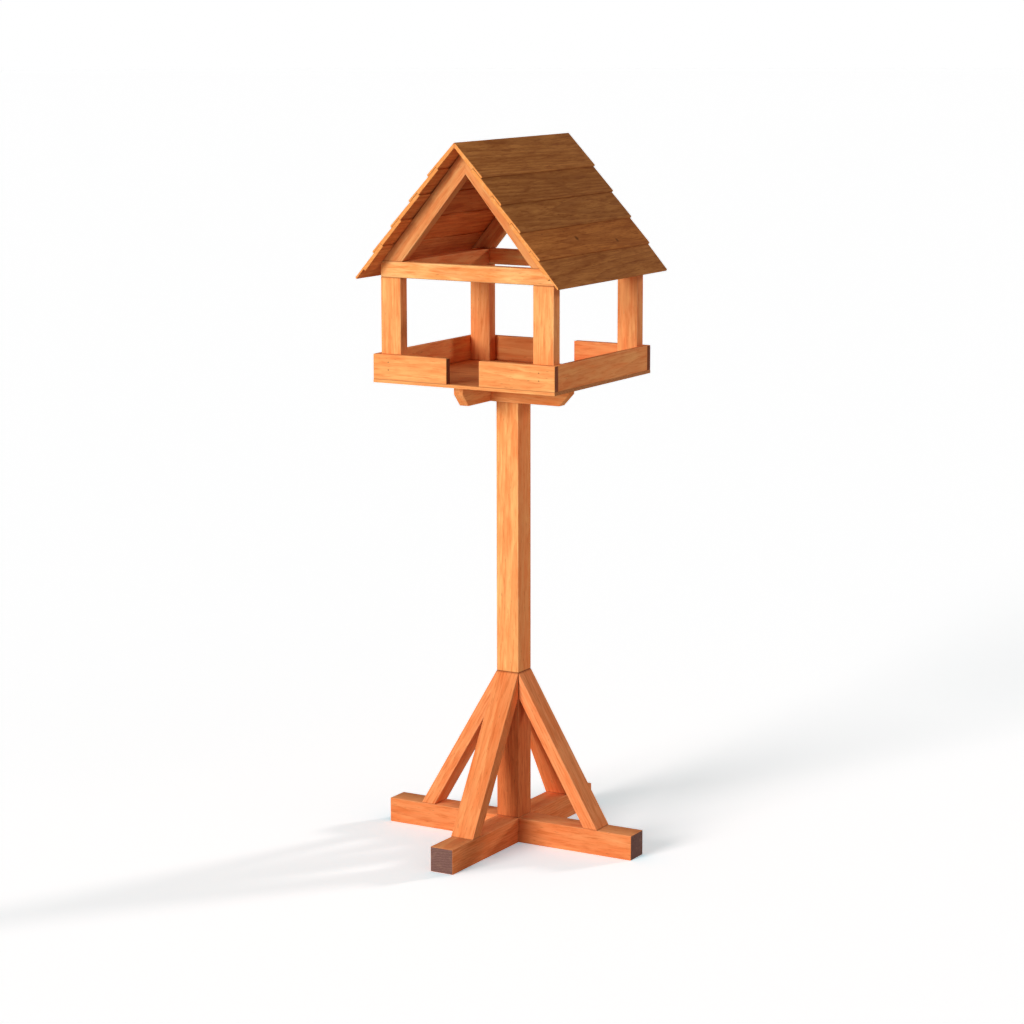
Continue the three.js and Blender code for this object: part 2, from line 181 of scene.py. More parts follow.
# Stained planed pine. The grain is one solid pattern laid along each piece: growth rings about 4 mm apart
# round a heart outside the piece, clouds where the stain soaked in, streaks some 8 mm wide and 70 mm long,
# and fibres drawn 2 mm wide, for real ones are too fine to show. It gives long quiet flames on the faces,
# close arcs on the ends, a paler line along the arrises and a dark line where pieces meet, which is painted
# contact shade. Faces that look one way can take a second palette: the roof's weathered side, a deeper top
# on the tray floor, painted light on the tops of the feet and painted shade on the right faces of the posts.
def stained_pine(name, stain, along, face, middle, half, heart, log, ring=4 * MM):
    material = bpy.data.materials.new(name)
    material.use_nodes = True
    tree = material.node_tree
    tree.nodes.clear()
    along, face = Vector(along).normalized(), Vector(face).normalized()
    across = face.cross(along)
    spot = add(tree, "TexCoord", {})
    stick = add(tree, "Mapping", {
        "Vector": spot.outputs["Object"],
        "Location": middle,
        "Rotation": Matrix((along, across, face)).transposed().to_euler(),
    }, vector_type="TEXTURE").outputs[0]
    # The log lies a little askew in the piece and is drawn out tenfold, so its rings run out in long
    # flames.
    trunk = add(tree, "Mapping", {
        "Vector": stick,
        "Location": (log, heart[0], heart[1]),
        "Rotation": (0, 0.16, 0.1),
        "Scale": (0.1, 1, 1),
    }).outputs[0]
    rings = add(tree, "TexWave", {
        "Vector": trunk, "Scale": math.pi / 10 / ring, "Distortion": 5,
        "Detail": 2, "Detail Scale": 0.35, "Detail Roughness": 0.5,
    }, wave_type="RINGS", rings_direction="X", wave_profile="SAW").outputs["Fac"]

    def between(value, low, high):
        """A mask that runs from 0 at one level of a value to 1 at another."""
        return add(tree, "MapRange", {"Value": value, "From Min": low, "From Max": high}).outputs[0]

    def drawn(scale, detail, low, high):
        """Noise drawn out along the grain, from 0 to 1 between two of its levels."""
        shift = (log * 7, log * 3, log)
        place = add(tree, "VectorMath", {0: stick, 1: scale, 2: shift}, operation="MULTIPLY_ADD")
        noise = add(tree, "TexNoise", {
            "Vector": place.outputs[0], "Scale": 1, "Detail": detail, "Roughness": 0.62})
        return between(noise.outputs[0], low, high)

    def blended(share, first, second):
        return add(tree, "Mix", {0: share, 6: first, 7: second}, data_type="RGBA").outputs[2]

    def reckoned(operation, first, second):
        return add(tree, "Math", {0: first, 1: second}, operation=operation).outputs[0]

    def facing(direction, low, high):
        """How far the surface faces a direction."""
        lean = add(tree, "VectorMath", {0: spot.outputs["Normal"], 1: direction}, operation="DOT_PRODUCT")
        return between(lean.outputs["Value"], low, high)

    # Each pattern has its closeness along, across and through the grain, its detail, and the levels of the
    # noise that it fades in between.
    late = between(rings, 0.35, 0.95)
    soaked = drawn((10, 70, 70), 5, 0.36, 0.64)
    flame = drawn((18, 150, 150), 5, 0.52, 0.7)
    bare = drawn((15, 110, 110), 5, 0.48, 0.34)
    vein = drawn((26, 290, 290), 3, 0.54, 0.68)
    fibre = drawn((30, 420, 420), 2, 0.35, 0.65)
    fleck = drawn((60, 400, 400), 1, 0.7, 0.78)

    def tinted(mask, strength, under, tint):
        """Lays a tint over a colour where a mask lets it through."""
        return blended(reckoned("MULTIPLY", mask, strength), under, linear(tint))

    def stained(pale, middle_tone, deep, dark):
        """The stained face, from its palest stain to the darkest flecks."""
        colour = blended(soaked, linear(pale), linear(middle_tone))
        for mask, strength, tint in (
                (flame, 0.7, deep), (bare, 0.62, pale), (vein, 0.52, deep),
                (late, 0.36, deep), (fibre, 0.22, deep), (fleck, 0.4, dark)):
            colour = tinted(mask, strength, colour, tint)
        return colour

    colour = stained(*stain["face"])
    # Faces that look one way take a second palette: the roof's weathered side, a deeper top on the tray
    # floor, painted light on the feet's tops and painted shade on the right faces of the posts.
    if "open" in stain:
        open_side = 0
        for direction in stain["open_to"]:
            open_side = reckoned("MAXIMUM", facing(direction, 0.35, 0.75), open_side)
        colour = blended(open_side, colour, stained(*stain["open"]))
    if "tone" in stain:
        # The piece's tone shifts its whole colour, so that the grain keeps its contrast. On the two back
        # corner posts it is partly painted light and shade.
        tone, share = stain["tone"]
        pale, middle_tone, deep = (linear(shade) for shade in stain["face"][:3])
        usual = [0.4 * a + 0.3 * b + 0.3 * c for a, b, c in zip(pale, middle_tone, deep)]
        gain = [1 + share * (wanted / level - 1) for wanted, level in zip(linear(tone), usual)]
        toned = add(tree, "Mix", {0: 1, 6: colour, 7: gain}, data_type="RGBA", blend_type="MULTIPLY")
        colour = toned.outputs[2]

    from_middle = add(tree, "VectorMath", {0: stick}, operation="ABSOLUTE").outputs[0]
    to_edge = add(tree, "VectorMath", {0: from_middle, 1: (0, *half)}, operation="SUBTRACT").outputs[0]
    gaps = add(tree, "SeparateXYZ", {0: to_edge}).outputs
    # A paler line along the arrises.
    paler_arris = between(reckoned("MINIMUM", gaps[1], gaps[2]), -2.5 * MM, -0.6 * MM)
    paler_arris = reckoned("MULTIPLY", paler_arris, drawn((25, 90, 90), 2, 0.35, 0.6))
    colour = tinted(paler_arris, 0.3, colour, stain["paler_arris"])

    if "end" in stain:
        thirsty, dark, dry = stain["end"]
        streaks = drawn((3, 180, 900), 3, 0.4, 0.66)
        ends = tinted(late, 0.5, linear(thirsty), dark)
        ends = tinted(streaks, 0.55, ends, dark)
        ends = tinted(bare, 0.4, ends, dry)
        sawn = reckoned("MAXIMUM", facing(along, 0.8, 0.95), facing(along * -1, 0.8, 0.95))
        colour = blended(sawn, colour, ends)

    world_spot = add(tree, "SeparateXYZ", {0: spot.outputs["Object"]}).outputs
    # A dark line along each joint: painted contact shade in the seam.
    for axis, level in stain.get("joints", ()):
        away = reckoned("ABSOLUTE", reckoned("SUBTRACT", world_spot[axis], level), 0)
        painted_seam_shade = between(away, 2.2 * MM, 0.7 * MM)
        colour = tinted(painted_seam_shade, 0.42, colour, stain["face"][3])
    for place, radius, mark in stain.get("marks", ()):
        away = add(tree, "VectorMath", {0: spot.outputs["Object"], 1: place}, operation="DISTANCE")
        inside = between(away.outputs["Value"], radius, radius * 0.4)
        colour = tinted(inside, 0.65, colour, mark)

    relief = reckoned("ADD", reckoned("MULTIPLY", late, 0.6), reckoned("MULTIPLY", fibre, 0.5))
    bump = add(tree, "Bump", {"Height": relief, "Strength": 0.3, "Distance": 0.2 * MM}).outputs[0]
    sheen = add(tree, "MapRange", {"Value": relief, "To Min": 0.86, "To Max": 0.74}).outputs[0]
    surface = add(tree, "BsdfPrincipled", {
        "Base Color": colour, "Roughness": sheen, "Normal": bump, "IOR": 1.45, "Specular IOR Level": 0.03,
    })
    add(tree, "OutputMaterial", {"Surface": surface.outputs[0]})
    return material


BASE_STAIN = {
    "face": ("#F79C60", "#F0844A", "#D06632", "#77341A"),
    "paler_arris": "#F8AA74",
    "end": ("#86625A", "#5A3E34", "#95725F"),
}
# The feet's top faces are painted paler than their sides: painted light on the faces that look up.
FOOT_STAIN_WITH_LIT_TOPS = dict(BASE_STAIN, open=("#FFB173", "#FF9F63", "#E8804A", "#8A4A2C"), open_to=((0, 0, 1),))

half_lap = FOOT / 2 + PLAY
foot = planed(
    "foot_left_right_timber",
    (-FOOT_LENGTH / 2, -FOOT / 2, 0), (FOOT_LENGTH / 2, FOOT / 2, FOOT / 2 - PLAY / 2))
for x in (-half_lap, half_lap):
    score(foot, (x, 0, 0), (1, 0, 0))
pull(foot, lambda middle, normal: normal.z > 0.9 and abs(middle.x) > half_lap, (0, 0, FOOT / 2 + PLAY / 2))
for x in (-BRACE_SCREW_REACH, 0, BRACE_SCREW_REACH):
    bore_foot(foot, x, 0)
ease_arrises(foot)
fit(foot, "foot_left_right", stained_pine(
    "stained_pine_foot_left_right", dict(FOOT_STAIN_WITH_LIT_TOPS, tone=("#C88450", 0.14)), (1, 0, 0), (0, -1, 0),
    (0, 0, FOOT / 2), (FOOT / 2, FOOT / 2), (-0.01, 0.09), 0.3, 5 * MM))

foot = planed(
    "foot_front_back_timber",
    (-FOOT / 2, -FOOT_LENGTH / 2, FOOT / 2 + PLAY / 2), (FOOT / 2, FOOT_LENGTH / 2, FOOT))
for y in (-half_lap, half_lap):
    score(foot, (0, y, 0), (0, 1, 0))
pull(foot, lambda middle, normal: normal.z < -0.9 and abs(middle.y) > half_lap, (0, 0, -FOOT / 2 - PLAY / 2))
for y in (-BRACE_SCREW_REACH, 0, BRACE_SCREW_REACH):
    bore_foot(foot, 0, y)
ease_arrises(foot)
fit(foot, "foot_front_back", stained_pine(
    "stained_pine_foot_front_back", FOOT_STAIN_WITH_LIT_TOPS, (0, 1, 0), (0, 0, 1), (0, 0, FOOT / 2),
    (FOOT / 2, FOOT / 2), (0.02, 0.12), 1.7, 5 * MM))

# The base post is a short length of the same 50 mm square softwood, standing on the crossed feet and held
# by a screw from below. It ends level with the tops of the braces, and carries the darker, redder stain of
# the base.
POST_FOOT, BRACE_TOP = 50 * MM, 349 * MM
JOIN_SCREW_LENGTH, JOIN_SCREW = 120 * MM, 4 * MM
short_post = planed("base_post_timber", (-FOOT / 2, -FOOT / 2, POST_FOOT), (FOOT / 2, FOOT / 2, BRACE_TOP))
bore(short_post, 0, 0, POST_FOOT - OVERRUN, SCREW_SINK + POST_SCREW_LENGTH + OVERRUN, POST_SCREW + PLAY)
join_reach = JOIN_SCREW_LENGTH / 2 + OVERRUN
bore(short_post, 0, 0, BRACE_TOP - join_reach, BRACE_TOP + OVERRUN, JOIN_SCREW + PLAY)
ease_arrises(short_post)
DARK_BASE_STAIN = dict(
    BASE_STAIN, face=("#E88A50", "#D67440", "#B4562C", "#5A2410"), paler_arris="#F09A64",
    joints=((2, POST_FOOT), (2, BRACE_TOP)))
fit(short_post, "base_post", stained_pine(
    "stained_pine_base_post", DARK_BASE_STAIN, (0, 0, 1), (0, -1, 0), (0, 0, (POST_FOOT + BRACE_TOP) / 2),
    (FOOT / 2, FOOT / 2), (-0.01, -0.06), 6.6))

# The main post stands end to end on the base post, with a screw of two points hidden in the joint, and runs
# up to the underside of the tray. It carries the lighter honey stain of the tray, with long straight
# flames. Its right face, which the lamps light less, is painted redder: painted shade.
POST_TOP = 937 * MM
FRAME_STAIN = {
    "face": ("#FCBD75", "#F79D5B", "#E07B41", "#8A4420"),
    "paler_arris": "#FBC48A",
}
RIGHT_FACE_PAINTED_SHADE = {"open": ("#FEAE6A", "#F99052", "#E27139", "#7A3818"), "open_to": ((1, 0, 0),)}
post = planed("main_post_timber", (-FOOT / 2, -FOOT / 2, BRACE_TOP), (FOOT / 2, FOOT / 2, POST_TOP))
bore(post, 0, 0, BRACE_TOP - OVERRUN, BRACE_TOP + join_reach, JOIN_SCREW + PLAY)
ease_arrises(post)
fit(post, "main_post", stained_pine(
    "stained_pine_main_post", dict(FRAME_STAIN, joints=((2, BRACE_TOP),), **RIGHT_FACE_PAINTED_SHADE),
    (0, 0, 1), (0, -1, 0), (0, 0, (BRACE_TOP + POST_TOP) / 2),
    (FOOT / 2, FOOT / 2), (0.015, -0.07), 3.1))

# Four braces of 50 by 26 mm stock lean against the post, one to a face. Each is cut plumb at the post and
# level on the foot, and takes one screw up through the foot. Their grain runs up the slope.
BRACE_THICKNESS, BRACE_REACH = 26 * MM, 204 * MM
post_face, foot_face = FOOT / 2 + PLAY, FOOT + PLAY
slope = math.atan2(BRACE_TOP - foot_face, BRACE_REACH - post_face)
up_slope = Vector((-math.cos(slope), 0, math.sin(slope)))
out_of_slope = Vector((math.sin(slope), 0, math.cos(slope)))
top_face_middle = Vector(((post_face + BRACE_REACH) / 2, 0, (foot_face + BRACE_TOP) / 2))
brace_middle = top_face_middle - out_of_slope * BRACE_THICKNESS / 2
rough_length = 480 * MM

bpy.ops.object.select_all(action="DESELECT")
bpy.ops.mesh.primitive_cube_add(
    size=1, location=brace_middle, rotation=(0, math.pi + slope, 0),
    scale=(rough_length, FOOT, BRACE_THICKNESS))
brace = bpy.context.object
brace.name = brace.data.name = "brace_pattern"
bpy.ops.object.transform_apply(location=True, rotation=True, scale=True)
saw(brace, (post_face, 0, 0), (-1, 0, 0))
saw(brace, (0, 0, foot_face), (0, 0, -1))
brace_hole_top = SCREW_SINK + BRACE_SCREW_LENGTH + 2 * OVERRUN
bore(brace, BRACE_SCREW_REACH, 0, FOOT - 5 * MM, brace_hole_top, BRACE_SCREW + PLAY)
ease_arrises(brace)
BRACE_TONES = {
    "right": ("#F89C64", 0.35), "back": ("#D06632", 0.2), "left": ("#FAA468", 0.3), "front": ("#F89A5A", 0.3)}
for number, (side, tone) in enumerate(BRACE_TONES.items()):
    turn = number * math.pi / 2
    spin = Matrix.Rotation(turn, 3, "Z")
    leg_stain = dict(BASE_STAIN, tone=tone, joints=(
        (2, foot_face), (number % 2, post_face if number < 2 else -post_face)))
    fit(turned_copy(brace, f"brace_{side}_timber", turn), f"brace_{side}", stained_pine(
        f"stained_pine_brace_{side}", leg_stain, spin @ up_slope, spin @ out_of_slope, spin @ brace_middle,
        (FOOT / 2, BRACE_THICKNESS / 2), (0.02 * (number - 1.5), 0.1), 0.4 + 1.9 * number, 6 * MM))
bpy.data.objects.remove(brace)

# Four brackets of 43 by 21 mm stock hold the tray to the head of the post, set round it like a pinwheel:
# each starts flush with one face, runs past the next and ends in a nose cut back under the tray.
BRACKET_HEIGHT, BRACKET_THICKNESS, BRACKET_REACH = 43 * MM, 21 * MM, 151 * MM
NOSE_RISE, NOSE_RUN = 24 * MM, 22 * MM
TRAY_SCREW, FLOOR_SCREW_LENGTH = 1.8 * MM, 34 * MM
FLOOR_SCREW = Vector((48 * MM, -(FOOT + BRACKET_THICKNESS) / 2, 0))
bracket_foot = POST_TOP - BRACKET_HEIGHT
bracket = planed(
    "bracket_pattern",
    (-FOOT / 2, -FOOT / 2 - BRACKET_THICKNESS, bracket_foot), (BRACKET_REACH, -FOOT / 2, POST_TOP))
saw(bracket, (BRACKET_REACH - NOSE_RUN, 0, bracket_foot), (NOSE_RISE, 0, -NOSE_RUN))
bore(bracket, FLOOR_SCREW.x, FLOOR_SCREW.y, POST_TOP - 30 * MM, POST_TOP + 2 * OVERRUN, TRAY_SCREW + PLAY)
ease_arrises(bracket)
BRACKET_STAIN = dict(
    FRAME_STAIN, face=("#FDB470", "#F8924E", "#D87038", "#803A1C"), joints=((2, POST_TOP),))
for number, (side, log) in enumerate((("front", 0.9), ("right", 2.6), ("back", 4.4), ("left", 6.1))):
    turn = number * math.pi / 2
    spin = Matrix.Rotation(turn, 3, "Z")
    middle = Vector(((BRACKET_REACH - FOOT / 2) / 2, FLOOR_SCREW.y, (bracket_foot + POST_TOP) / 2))
    arm = turned_copy(bracket, f"bracket_{side}_timber", turn)
    fit(arm, f"bracket_{side}", stained_pine(
        f"stained_pine_bracket_{side}", BRACKET_STAIN, spin @ Vector((1, 0, 0)), spin @ Vector((0, -1, 0)),
        spin @ middle, (BRACKET_HEIGHT / 2, BRACKET_THICKNESS / 2), (0.01, 0.08), log))
bpy.data.objects.remove(bracket)

# The tray floor is a thin sheet, 404 by 388 by 6 mm, screwed down to the brackets. Its grain runs left to
# right, so the edge below the end boards shows long grain.
TRAY_WIDTH, TRAY_DEPTH, FLOOR_THICKNESS = 404 * MM, 388 * MM, 6 * MM
FLOOR_TOP = POST_TOP + FLOOR_THICKNESS
CORNER_SCREW, CORNER_SCREW_LENGTH = Vector((169.5 * MM, 168 * MM, 0)), 40 * MM
CORNERS = (("front_left", -1, -1), ("front_right", 1, -1), ("back_left", -1, 1), ("back_right", 1, 1))
floor = planed(
    "tray_floor_timber",
    (-TRAY_WIDTH / 2, -TRAY_DEPTH / 2, POST_TOP), (TRAY_WIDTH / 2, TRAY_DEPTH / 2, FLOOR_TOP))
for number in range(4):
    hole = Matrix.Rotation(number * math.pi / 2, 3, "Z") @ FLOOR_SCREW
    bore(floor, hole.x, hole.y, POST_TOP - OVERRUN, FLOOR_TOP + OVERRUN, 2 * TRAY_SCREW + PLAY)
for _, x_sign, y_sign in CORNERS:
    x, y = x_sign * CORNER_SCREW.x, y_sign * CORNER_SCREW.y
    bore(floor, x, y, POST_TOP - OVERRUN, FLOOR_TOP + OVERRUN, 2 * TRAY_SCREW + PLAY)
ease_arrises(floor, 0.6 * MM)
FLOOR_STAIN = dict(
    FRAME_STAIN, paler_arris="#F0A060", open=("#F4A464", "#E68C52", "#C46A3A", "#6A2C14"), open_to=((0, 0, 1),),
    end=("#C8804E", "#A2603A", "#D0905E"))
fit(floor, "tray_floor", stained_pine(
    "stained_pine_tray_floor", FLOOR_STAIN, (1, 0, 0), (0, 0, 1), (0, 0, POST_TOP + FLOOR_THICKNESS / 2),
    (TRAY_DEPTH / 2, FLOOR_THICKNESS / 2), (0.03, -0.15), 8.8, 6 * MM))

# The tray's rim is two full-length side boards, 10 mm thick, and four short end boards, 14 mm thick, all 50
# mm high and pinned to the corner posts. The gap between each pair of end boards lets old seed be swept
# out. The sawn ends of the end boards show at the corners and in the gaps, dark where they drank the stain.
BOARD_HEIGHT, END_BOARD, SIDE_BOARD, SWEEP_GAP = 50 * MM, 14 * MM, 10 * MM, 72 * MM
RIM_TOP = FLOOR_TOP + BOARD_HEIGHT
TRAY_STAIN = dict(FRAME_STAIN, end=("#90543A", "#642E1C", "#A06040"), joints=((2, FLOOR_TOP),))
rim_middle = (FLOOR_TOP + RIM_TOP) / 2
side_length = TRAY_DEPTH - 2 * END_BOARD
for side, sign, log, tone in (("left", -1, 1.2, ("#EC8048", 0.35)), ("right", 1, 3.9, ("#E47440", 0.4))):
    outer, inner = sign * TRAY_WIDTH / 2, sign * (TRAY_WIDTH / 2 - SIDE_BOARD)
    board = planed(
        f"tray_side_{side}_timber",
        (min(outer, inner), -side_length / 2, FLOOR_TOP), (max(outer, inner), side_length / 2, RIM_TOP))
    ease_arrises(board)
    fit(board, f"tray_side_{side}", stained_pine(
        f"stained_pine_tray_side_{side}", dict(TRAY_STAIN, tone=tone), (0, 1, 0), (sign, 0, 0),
        ((outer + inner) / 2, 0, rim_middle), (BOARD_HEIGHT / 2, SIDE_BOARD / 2), (0.01, 0.06), log))

end_length = (TRAY_WIDTH - SWEEP_GAP) / 2
END_TONES = {
    "front_left": ("#F59452", 0.35), "front_right": ("#F79A58", 0.2),
    "back_left": ("#BC5428", 0.45), "back_right": ("#E27040", 0.5)}
PIN_X, PIN_LEVELS, PIN_HEAD = 167.5 * MM, (963 * MM, 978 * MM), 2 * MM
for side, x_sign, y_sign in CORNERS:
    middle = Vector((
        x_sign * (SWEEP_GAP + end_length) / 2, y_sign * (TRAY_DEPTH - END_BOARD) / 2, rim_middle))
    pins = tuple(
        ((x_sign * PIN_X, y_sign * TRAY_DEPTH / 2, level), PIN_HEAD, "#6E4026") for level in PIN_LEVELS)
    reach = Vector((end_length / 2, END_BOARD / 2, BOARD_HEIGHT / 2))
    board = planed(f"tray_end_{side}_timber", middle - reach, middle + reach)
    ease_arrises(board)
    fit(board, f"tray_end_{side}", stained_pine(
        f"stained_pine_tray_end_{side}", dict(TRAY_STAIN, tone=END_TONES[side], marks=pins), (1, 0, 0),
        (0, y_sign, 0), middle, (BOARD_HEIGHT / 2, END_BOARD / 2), (0.012, -0.07 * x_sign),
        2 + 1.7 * x_sign + 3.1 * y_sign))

# Four corner posts, 45 by 24 mm, stand on the floor inside the rim and carry the shelter. Each has a screw
# up through the floor into its foot, and its wide face to the gable.
CORNER_WIDTH, CORNER_DEPTH, CORNER_LENGTH = 45 * MM, 24 * MM, 198 * MM
FRAME_X, FRAME_Y = TRAY_WIDTH / 2 - SIDE_BOARD, TRAY_DEPTH / 2 - END_BOARD
CORNER_TOP = FLOOR_TOP + CORNER_LENGTH
corner_hole_top = POST_TOP + CORNER_SCREW_LENGTH + 2 * OVERRUN
# Their right faces are painted deeper and redder: painted shade on the side the lamps light less.
CORNER_RIGHT_FACE_PAINTED_SHADE = {"open": ("#F4AA6A", "#EC9056", "#D66E3C", "#7A3818"), "open_to": ((1, 0, 0),)}
# The back posts' tones are partly their own and partly painted light and shade: the back left one is deeper
# and redder, as in shade, and the back right one paler, as in fuller light.
CORNER_TONES_WITH_PAINTED_LIGHT = {
    "front_left": ("#F79A58", 0.1), "front_right": ("#F79A58", 0.1),
    "back_left": ("#EE7A48", 0.3), "back_right": ("#FFA565", 0.5)}
for side, x_sign, y_sign in CORNERS:
    middle = Vector((
        x_sign * (FRAME_X - CORNER_WIDTH / 2), y_sign * (FRAME_Y - CORNER_DEPTH / 2),
        (FLOOR_TOP + CORNER_TOP) / 2))
    reach = Vector((CORNER_WIDTH / 2, CORNER_DEPTH / 2, CORNER_LENGTH / 2))
    leg = planed(f"corner_post_{side}_timber", middle - reach, middle + reach)
    x, y = x_sign * CORNER_SCREW.x, y_sign * CORNER_SCREW.y
    bore(leg, x, y, FLOOR_TOP - OVERRUN, corner_hole_top, TRAY_SCREW + PLAY)
    ease_arrises(leg)
    fit(leg, f"corner_post_{side}", stained_pine(
        f"stained_pine_corner_post_{side}",
        dict(FRAME_STAIN, tone=CORNER_TONES_WITH_PAINTED_LIGHT[side], joints=((2, CORNER_TOP), (2, FLOOR_TOP)), **CORNER_RIGHT_FACE_PAINTED_SHADE),
        (0, 0, 1), (0, y_sign, 0), middle, (CORNER_WIDTH / 2, CORNER_DEPTH / 2), (0.02 * x_sign, -0.05),
        4 + 1.1 * x_sign + 1.8 * y_sign, 3.5 * MM))

# A tie beam, 31 by 24 mm, lies across each pair of corner posts, its upper corners trimmed to the roof. Two
# side plates of the same stock run between the beams, level with the inner sides of the posts.
BEAM_HEIGHT, PITCH, RAFTER_PEAK, RAFTER_WIDTH = 31 * MM, math.radians(50), 1395.5 * MM, 33 * MM
BEAM_TOP = CORNER_TOP + BEAM_HEIGHT
roof_side = Vector((math.sin(PITCH), 0, math.cos(PITCH)))
under_boards = Vector((0, 0, RAFTER_PEAK - PLAY / math.cos(PITCH)))
for side, y_sign, log in (("front", -1, 2.4), ("back", 1, 7.7)):
    middle = Vector((0, y_sign * (FRAME_Y - CORNER_DEPTH / 2), (CORNER_TOP + BEAM_TOP) / 2))
    reach = Vector((FRAME_X, CORNER_DEPTH / 2, BEAM_HEIGHT / 2))
    beam = planed(f"tie_beam_{side}_timber", middle - reach, middle + reach)
    saw(beam, under_boards, roof_side)
    saw(beam, under_boards, (-roof_side.x, 0, roof_side.z))
    ease_arrises(beam)
    fit(beam, f"tie_beam_{side}", stained_pine(
        f"stained_pine_tie_beam_{side}",
        dict(FRAME_STAIN, face=("#FECC85", "#F79A53", "#DE763C", "#8A4420"), joints=((2, CORNER_TOP),)),
        (1, 0, 0), (0, y_sign, 0), middle,
        (BEAM_HEIGHT / 2, CORNER_DEPTH / 2), (0.004, 0.05), log, 3.5 * MM))

plate_x = FRAME_X - CORNER_WIDTH + CORNER_DEPTH / 2
PLATE_STAIN = dict(FRAME_STAIN, tone=("#CC6234", 0.45))
for side, x_sign, log in (("left", -1, 0.5), ("right", 1, 5.9)):
    middle = Vector((x_sign * plate_x, 0, (CORNER_TOP + BEAM_TOP) / 2))
    reach = Vector((CORNER_DEPTH / 2, FRAME_Y - CORNER_DEPTH, BEAM_HEIGHT / 2))
    plate = planed(f"side_plate_{side}_timber", middle - reach, middle + reach)
    ease_arrises(plate)
    fit(plate, f"side_plate_{side}", stained_pine(
        f"stained_pine_side_plate_{side}", PLATE_STAIN, (0, 1, 0), (-x_sign, 0, 0), middle,
        (BEAM_HEIGHT / 2, CORNER_DEPTH / 2), (0.01, 0.07), log))

# Each gable has two rafters, 33 by 24 mm, that meet in a plumb mitre at the peak and stand on the tie beam
# with a level cut. The mitre is sawn after the arrises are eased, so it closes tight. The roof boards lie
# on their upper faces.
down_roof = Vector((math.cos(PITCH), 0, -math.sin(PITCH)))
HALF_WAY_DOWN = 170 * MM
rafter_middle = under_boards + down_roof * HALF_WAY_DOWN - roof_side * RAFTER_WIDTH / 2
bpy.ops.object.select_all(action="DESELECT")
bpy.ops.mesh.primitive_cube_add(
    size=1, location=rafter_middle, rotation=(0, PITCH, 0), scale=(rough_length, CORNER_DEPTH, RAFTER_WIDTH))
rafter = bpy.context.object
rafter.name = rafter.data.name = "rafter_pattern"
bpy.ops.object.transform_apply(location=True, rotation=True, scale=True)
saw(rafter, (0, 0, BEAM_TOP + PLAY), (0, 0, -1))
ease_arrises(rafter)
saw(rafter, (PLAY / 10, 0, 0), (-1, 0, 0))
bpy.ops.object.shade_smooth_by_angle(angle=math.radians(40))
RAFTER_STAIN = dict(FRAME_STAIN, tone=("#D18550", 0.6), joints=((2, BEAM_TOP),))
for side, x_sign, y_sign in CORNERS:
    turn = 0 if x_sign > 0 else math.pi
    spin = Matrix.Rotation(turn, 3, "Z")
    lift = Vector((0, y_sign * (FRAME_Y - CORNER_DEPTH / 2), 0))
    timber = turned_copy(rafter, f"rafter_{side}_timber", turn)
    timber.data.transform(Matrix.Translation(lift))
    fit(timber, f"rafter_{side}", stained_pine(
        f"stained_pine_rafter_{side}", RAFTER_STAIN, spin @ down_roof, (0, y_sign, 0),
        spin @ rafter_middle + lift, (RAFTER_WIDTH / 2, CORNER_DEPTH / 2), (0.015, 0.06),
        5 + 1.3 * x_sign + 2.6 * y_sign, 3.5 * MM))
bpy.data.objects.remove(rafter)

# The roof is five lapped boards a side, 440 mm long. They are feather-edged, 7 mm at the top and 9 mm at
# the lower edge, where a rebate underneath sits over the board below. The weather side is stained brown;
# the ends and the underside keep the orange stain of the frame.
ROOF_LENGTH, COURSES, BOARD_WIDTH, TOP_WIDTH, EXPOSURE = 440 * MM, 5, 90 * MM, 80.4 * MM, 64.7 * MM
THIN_EDGE, THICK_EDGE, REBATE = 7 * MM, 9 * MM, 4.9 * MM
LAP = BOARD_WIDTH - EXPOSURE
TAPER = (THICK_EDGE - THIN_EDGE) / BOARD_WIDTH
ROOF_STAIN = {
    "face": ("#E08E4E", "#D0723C", "#B25628", "#77341A"),
    "open": ("#C78044", "#AB6733", "#82431E", "#3C200E"),
    "paler_arris": "#B4743E",
    "end": ("#F4A258", "#DE8442", "#FBBE7C"),
}
COURSE_TONES = (("#D57F44", 0.5), ("#B86B38", 0.5), ("#C3743F", 0.5), ("#E27D3E", 0.5), ("#D47D45", 0.5))
ROOF_KNOTS = (
    ((160.3 * MM, -35 * MM, 1219.4 * MM), 7 * MM, "#3C200E"),
    ((171.9 * MM, 105 * MM, 1205.6 * MM), 6 * MM, "#3C200E"))


def roof_board(width, ridge_bevel):
    """One board lying flat on its underside, its upper edge at zero and its length along Y."""
    shoulder = width - LAP - PLAY
    board = planed(
        "roof_board_pattern", (-10 * MM, -ROOF_LENGTH / 2, 0), (shoulder, ROOF_LENGTH / 2, THICK_EDGE))
    score(board, (0, 0, REBATE), (0, 0, 1))
    pull(board, lambda middle, normal: normal.x > 0.9 and middle.z > REBATE, (width - shoulder, 0, 0))
    saw(board, (width, 0, THICK_EDGE), (-TAPER, 0, 1))
    saw(board, (0, 0, 0), (-1, 0, -ridge_bevel))
    lip = Vector((width, 0, THICK_EDGE))
    shape(
        board, lambda middle, along: abs(along.y) > 0.9 and (middle - lip).length < 1 * MM,
        lambda: bpy.ops.mesh.bevel(offset=2 * MM, segments=4), "EDGE")
    ease_arrises(board, 0.5 * MM)
    return board


